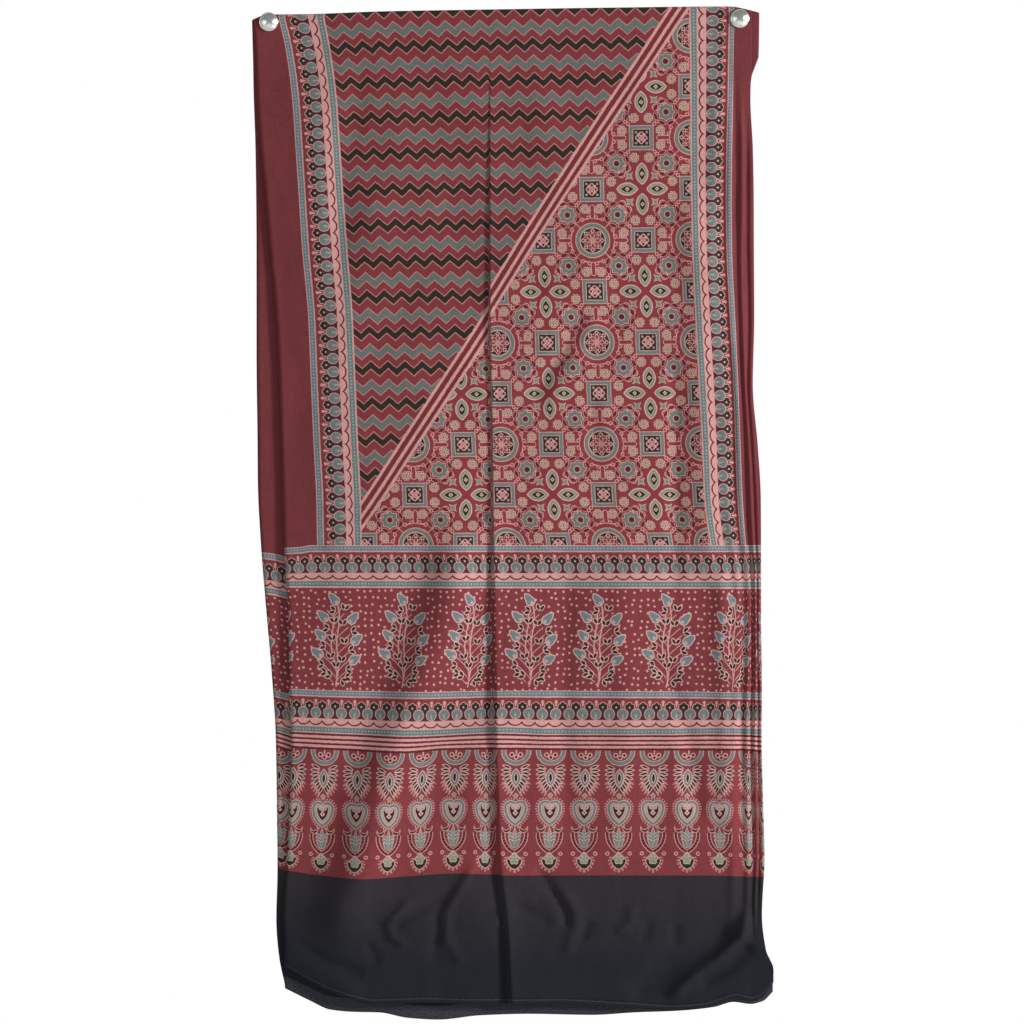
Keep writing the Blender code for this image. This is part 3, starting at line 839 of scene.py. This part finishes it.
# A smooth curve through values at their places, worked out for many points at once.
def through(places, values, where):
    count = len(places)
    where = np.asarray(where, float)
    places = [np.broadcast_to(np.asarray(p, float), where.shape) for p in places]
    values = [np.broadcast_to(np.asarray(v, float), where.shape) for v in values]
    steps = [places[i + 1] - places[i] for i in range(count - 1)]
    slopes = [(values[i + 1] - values[i]) / steps[i] for i in range(count - 1)]
    tangents = [slopes[0]]
    for i in range(1, count - 1):
        before, after = slopes[i - 1], slopes[i]
        agree = before * after > 0
        wide = abs(2 * steps[i] + steps[i - 1])
        narrow = abs(steps[i] + 2 * steps[i - 1])
        mean = (wide + narrow) / (wide / np.where(agree, before, 1) + narrow / np.where(agree, after, 1))
        tangents.append(np.where(agree, mean, 0))
    tangents.append(slopes[-1])
    result = np.array(values[0])
    for i in range(count - 1):
        inside = where >= places[i] if np.mean(steps[0]) > 0 else where <= places[i]
        share = np.clip((where - places[i]) / steps[i], 0, 1)
        rest = 1 - share
        curve = values[i] * (1 + 2 * share) * rest ** 2 + values[i + 1] * share ** 2 * (3 - 2 * share)
        curve = curve + steps[i] * share * rest * (tangents[i] * rest - tangents[i + 1] * share)
        result = np.where(inside, curve, result)
    return result


def column(rows, index):
    return [row[index] for row in rows]


# The guides at one height of the photo: the five left of the pleat, its two lips, and the five right of it.
def guidesAt(y):
    heights = column(guideRows, 0)
    lines = [through(heights, column(guideRows, i + 1), y) for i in range(len(guides))]
    rows = middlePleat["rows"]
    heights = column(rows, 0)
    edge, place, tucked, steep, share = [through(heights, column(rows, i), y) for i in (1, 2, 3, 4, 5)]
    reach = (tucked + steep * reading["pixel"]) / 2
    places = guides[:5] + [place - reach, place + reach] + guides[5:]
    return places, lines[:5] + [edge - steep * 0.75, edge + steep * 0.25] + lines[5:], share


def acrossAt(across, y):
    places, lines, full = guidesAt(y)
    left = through(places[:6], lines[:6], across)
    right = through(places[6:], lines[6:], across)
    share = np.clip((across - places[5]) / (places[6] - places[5]), 0, 1)
    between = lines[5] + (lines[6] - lines[5]) * share
    x = np.where(across <= places[5], left, np.where(across >= places[6], right, between))
    raised = middlePleat["proud"] * np.exp(-np.maximum(across - places[6], 0) / middlePleat["proudReach"])
    lowered = -middlePleat["sunk"] * np.exp(-np.maximum(places[5] - across, 0) / middlePleat["sunkReach"])
    return acrossOf(x), (lowered + (raised - lowered) * smooth(share)) * full


def flatPlace(x, y):
    places, lines, full = guidesAt(y)
    return float(np.interp(x, [float(v) for v in lines], [float(v) for v in places]))


flatLines = [(along, [(flatPlace(x, y), heightOf(y)) for x, y in points]) for along, points in levelLines]


def troughs(x, z):
    depth = np.zeros_like(x)
    for halfWidth, drop, points in creases:
        near = np.full_like(x, 1e6)
        ends = np.zeros_like(x)
        placed = [(acrossOf(px), heightOf(py)) for px, py in points]
        for i, ((ax, az), (bx, bz)) in enumerate(zip(placed, placed[1:])):
            runX, runZ = bx - ax, bz - az
            share = np.clip(((x - ax) * runX + (z - az) * runZ) / (runX ** 2 + runZ ** 2), 0, 1)
            gap = np.hypot(x - ax - share * runX, z - az - share * runZ)
            ends = np.where(gap < near, (i + share) / (len(points) - 1), ends)
            near = np.minimum(near, gap)
        fade = smooth(np.minimum(ends, 1 - ends) * 7 + 0.05)
        depth += drop * fade * np.exp(-(near / halfWidth) ** 2)
    return depth


def looseness(x, z):
    free = np.ones_like(x)
    for px, pz in pressed["pins"]:
        free = np.minimum(free, smooth((np.hypot(x - px, z - pz) - pressed["radius"]) / pressed["reach"]))
    return free


def wander(x, z, width, height, layer, strength):
    return np.array([noise.noise(Vector((a / width, b / height, layer))) * strength for a, b in zip(x, z)])


def frontPlace(across, along):
    top = heightOf(through(column(topEdge, 0), column(topEdge, 1), across)) - stole["foldRadius"]
    heights = [through(column(line, 0), column(line, 1), across) for place, line in flatLines] + [top]
    z = through(column(flatLines, 0) + [stole["frontFold"]], heights, along)
    x, step = acrossAt(across, reading["pins"] - z / reading["pixel"])
    below = smooth((top - z) / stole["frontRamp"])
    flat = stole["rearStandoff"] + 2 * stole["foldRadius"]
    shaped = 1.4 * np.sin(2 * math.pi * (x / 430 + z / 1500) + 0.4)
    shaped = shaped + 0.8 * np.sin(2 * math.pi * (x / 190 + z / 900) + 2.1)
    for place, halfWidth, height, start, end in pleats:
        drift = 2.2 * np.sin(z / 95 + place) + 1.2 * np.sin(z / 37 + place * 2)
        fade = smooth((start - z) / 60) * smooth((z - end) / 60)
        shaped = shaped - height * fade * np.exp(-((across - place + drift) / halfWidth) ** 2)
    shaped = shaped + wander(x, z, 38, 70, 0.3, 1.9) + wander(x, z, 15, 24, 4.1, 0.6) + step - troughs(x, z)
    near = stole["edgeStandoff"] + (1 - stole["edgeStandoff"]) * smooth(across / stole["edgeRamp"])
    raised = (stole["frontStandoff"] - flat) * near + shaped * (0.3 + 0.7 * near)
    standoff = flat + raised * below * looseness(x, z)
    return x, -standoff, z


def rearPlace(across, along):
    top = heightOf(through(column(topEdge, 0), column(topEdge, 1), across)) - stole["foldRadius"]
    hem = heightOf(through(column(rearHem, 0), column(rearHem, 1), across))
    share = (along - stole["rearFold"]) / (stole["length"] - stole["rearFold"])
    z = top + (hem - top) * share
    y = reading["pins"] - z / reading["pixel"]
    left = acrossOf(through(column(rearSides, 0), column(rearSides, 1), y))
    right = acrossOf(through(column(rearSides, 0), column(rearSides, 2), y))
    x = left + (right - left) * across / stole["width"]
    below = smooth((top - z) / stole["frontRamp"])
    shaped = 0.8 * np.sin(2 * math.pi * (x / 380 + z / 1300) + 1.2) + wander(x, z, 45, 90, 7.7, 0.9)
    return x, -(stole["rearStandoff"] + shaped * below * looseness(x, z)), z


def hang(across, along):
    front = np.stack(frontPlace(across, np.minimum(along, stole["frontFold"])))
    rear = np.stack(rearPlace(across, np.maximum(along, stole["rearFold"])))
    angle = np.clip((along - stole["frontFold"]) / (stole["rearFold"] - stole["frontFold"]), 0, 1) * math.pi
    turned = (front + rear) / 2 + (front - rear) / 2 * np.cos(angle)
    turned[2] += stole["foldRadius"] * np.sin(angle)
    behind = np.where(along >= stole["rearFold"], rear, turned)
    return np.where(along <= stole["frontFold"], front, behind) / 1000


def stations(spans):
    places = [0.0]
    for end, steps in spans:
        start = places[-1]
        places += [start + (end - start) * (i + 1) / steps for i in range(steps)]
    return places


# Which print lies at a place of the flat cloth; the rear's is the front's, mirrored.
printRows = [
    (137.5, "black end"), (274.5, "heart columns"), (292.2, "thin stripes"), (339.2, "lower border"),
    (448.2, "shrub row"), (495.9, "upper border"),
]


def printAt(across, along):
    if along > stole["length"] - stole["openHemLitThrough"]:
        return "open hem lit through"
    along = min(along, stole["length"] - along)
    edge = min(across, stole["width"] - across)
    for end, name in printRows:
        if along < end:
            return name
    if edge < 37:
        return "plain edge"
    if edge < 84.6:
        return "side border"
    gap = across - slant["start"] - slant["lean"] * (along - slant["along"])
    gap = gap / math.hypot(1, slant["lean"])
    if gap < -18:
        return "zigzag body"
    return "tile body" if gap > 18 else "slanting line"


prints = {
    "black end": endInks, "heart columns": heartInks, "thin stripes": stripeInks, "lower border": lowerInks,
    "shrub row": shrubInks, "upper border": upperInks, "plain edge": plainInks, "side border": sideInks,
    "zigzag body": zigzagInks, "tile body": tileInks, "slanting line": mixedInks, "open hem lit through": openWeaveLitThroughInks,
}


def makeStole():
    columns = stations(columnSpans)
    rows = stations(rowSpans)
    bm = bmesh.new()
    bmesh.ops.create_grid(bm, x_segments=len(columns) - 1, y_segments=len(rows) - 1, size=0.5)
    verts = list(bm.verts)
    across = np.array([columns[round((v.co.x + 0.5) * (len(columns) - 1))] for v in verts])
    along = np.array([rows[round((v.co.y + 0.5) * (len(rows) - 1))] for v in verts])
    hung = hang(across, along)
    flatMap = bm.loops.layers.uv.new("flat")
    for i, vert in enumerate(verts):
        vert.co = hung[:, i]
    bm.verts.index_update()
    order = list(prints)
    for face in bm.faces:
        middleAcross = np.mean([across[v.index] for v in face.verts])
        middleAlong = np.mean([along[v.index] for v in face.verts])
        face.material_index = order.index(printAt(middleAcross, middleAlong))
        face.smooth = True
        for loop in face.loops:
            length = along[loop.vert.index]
            mirrored = min(length, stole["length"] - length)
            loop[flatMap].uv = (across[loop.vert.index] / 1000, mirrored / 1000)
    piece = meshPiece(bm, "hungStole")
    for name in order:
        piece.data.materials.append(clothMaterial(name, prints[name]))
    body = piece.modifiers.new("cloth thickness", "SOLIDIFY")
    body.thickness = stole["thickness"]
    body.offset = 0.0
    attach(piece, "root")
    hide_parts("ajrakh_cloth")
    print("stole hung,", len(columns) - 1, "by", len(rows) - 1, "faces")
    return piece


# Pins: a thin domed disc, pressed and spun from plated sheet, on a fine shank.
pin = {
    "headRadius": 10.3, "rimHeight": 1.5, "domeHeight": 3.1, "under": 8.55, "shankRadius": 0.9,
    "shankEnd": -9.0, "steps": 72,
    "places": {"hanging_pin_left": (-255.5, -1.85), "hanging_pin_right": (255.5, 1.85)},
}


def plateMaterial():
    material = bpy.data.materials.new("spun plating")
    material.use_nodes = True
    tree = material.node_tree
    shader = tree.nodes["Principled BSDF"]
    maker = Thread(tree)
    place = maker.node("ShaderNodeUVMap", {"uv_map": "turned"})
    split = maker.node("ShaderNodeSeparateXYZ", None, {0: place})
    rings = split.sum("SINE", split.also(1) * 620)
    grime = noiseOver(place, 9.0, 5.0, 0.65)
    dull = bands(grime, [(12.5, "plateShade"), (32, "plate")], soft=9)
    dull.feed(shader, "Base Color")
    (grime * 0.12 + rings * 0.02 + 0.2).feed(shader, "Roughness")
    height = rings * 0.00001 + grime * 0.00012
    relief = maker.node("ShaderNodeBump", None, {"Height": height, "Strength": 0.5, "Distance": 1.0})
    relief.feed(shader, "Normal")
    shader.inputs["Metallic"].default_value = 1.0
    return material


def pinOutline():
    # from the middle of the face out over the dome, round the rolled lip and down the shank
    face = pin["under"] + pin["rimHeight"] + pin["domeHeight"]
    points = []
    for step in range(9):
        share = step / 8
        radius = (pin["headRadius"] - 1.1) * share
        points.append((radius, face - pin["domeHeight"] * share ** 2.2))
    rim = pin["under"] + pin["rimHeight"]
    for degrees in (100, 60, 20, -20, -60, -90):
        angle = math.radians(degrees)
        points.append((pin["headRadius"] - 0.6 + 0.6 * math.cos(angle), rim - 0.2 + 0.6 * math.sin(angle)))
    points.append((pin["headRadius"] - 1.2, pin["under"]))
    points.append((pin["shankRadius"] + 0.5, pin["under"]))
    points.append((pin["shankRadius"], pin["under"] - 0.5))
    points.append((pin["shankRadius"], pin["shankEnd"] + 2.0))
    points.append((0.25, pin["shankEnd"]))
    points.append((0.0, pin["shankEnd"]))
    return points


def makePin(node, place, material):
    bm = bmesh.new()
    outline = [bm.verts.new((radius / 1000, -standoff / 1000, 0)) for radius, standoff in pinOutline()]
    edges = [bm.edges.new(pair) for pair in zip(outline, outline[1:])]
    bmesh.ops.spin(
        bm, geom=outline + edges, axis=(0, 1, 0), cent=(0, 0, 0), angle=2 * math.pi, steps=pin["steps"],
        use_merge=True,
    )
    bmesh.ops.remove_doubles(bm, verts=bm.verts, dist=1e-6)
    bmesh.ops.recalc_face_normals(bm, faces=bm.faces)
    turnedMap = bm.loops.layers.uv.new("turned")
    for face in bm.faces:
        face.smooth = True
        for loop in face.loops:
            spot = loop.vert.co
            turn = math.atan2(spot.z, spot.x) / (2 * math.pi) + 0.5
            loop[turnedMap].uv = (turn, math.hypot(spot.x, spot.z) * 50)
    bmesh.ops.translate(bm, verts=bm.verts, vec=(place[0] / 1000, 0, place[1] / 1000))
    name = "spunPinLeft" if "left" in node else "spunPinRight"
    piece = meshPiece(bm, name)
    piece.data.set_sharp_from_angle(angle=math.radians(50))
    piece.data.materials.append(material)
    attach(piece, "root")
    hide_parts(node)
    print("pin turned", name)
    return piece


stolePiece = makeStole()
plating = plateMaterial()
pinPieces = [makePin(node, place, plating) for node, place in pin["places"].items()]


# Floor, lights and a white sweep of light behind, which only the camera sees.
studio = {
    "floorHeight": -1.45, "floorSize": 6.0, "ambient": 0.28,
    "key": {"place": (4.0, -2.2, 0.35), "size": 1.1, "power": 252.0},
    "fill": {"place": (-2.6, -3.0, -0.2), "size": 2.2, "power": 18.0},
    "low": {"place": (0.0, -2.6, -1.25), "size": 1.4, "power": 4.0},
    "behind": {"place": (-2.6, 4.2, 1.2), "size": 2.4, "power": 90.0},
}


def makeFloor():
    bm = bmesh.new()
    bmesh.ops.create_grid(bm, x_segments=2, y_segments=2, size=studio["floorSize"] / 2)
    floor = meshPiece(bm, "floor")
    floor.location = (0, 0, studio["floorHeight"])
    material = bpy.data.materials.new("pale floor")
    material.use_nodes = True
    shader = material.node_tree.nodes["Principled BSDF"]
    shader.inputs["Base Color"].default_value = (0.86, 0.86, 0.85, 1)
    shader.inputs["Roughness"].default_value = 0.7
    floor.data.materials.append(material)


def makeLight(name):
    facts = studio[name]
    light = bpy.data.lights.new(name, "AREA")
    light.shape = "DISK"
    light.size = facts["size"]
    light.energy = facts["power"]
    lamp = activate(bpy.data.objects.new(name, light))
    lamp.location = facts["place"]
    lamp.rotation_euler = (Vector((0, 0, -0.5)) - lamp.location).to_track_quat("-Z", "Y").to_euler()


def makeWorld():
    world = bpy.data.worlds.new("studio")
    world.use_nodes = True
    tree = world.node_tree
    tree.nodes.clear()
    maker = Thread(tree)
    soft = maker.node("ShaderNodeBackground", None, {0: (1, 1, 1, 1), 1: studio["ambient"]})
    white = maker.node("ShaderNodeBackground", None, {0: (1, 1, 1, 1), 1: 1.0})
    seen = maker.node("ShaderNodeLightPath", out="Is Camera Ray")
    mixed = maker.node("ShaderNodeMixShader", None, {0: seen, 1: soft, 2: white})
    output = tree.nodes.new("ShaderNodeOutputWorld")
    tree.links.new(mixed.socket, output.inputs[0])
    bpy.context.scene.world = world


makeFloor()
for lampName in ("key", "fill", "low", "behind"):
    makeLight(lampName)
makeWorld()
print("studio lit")
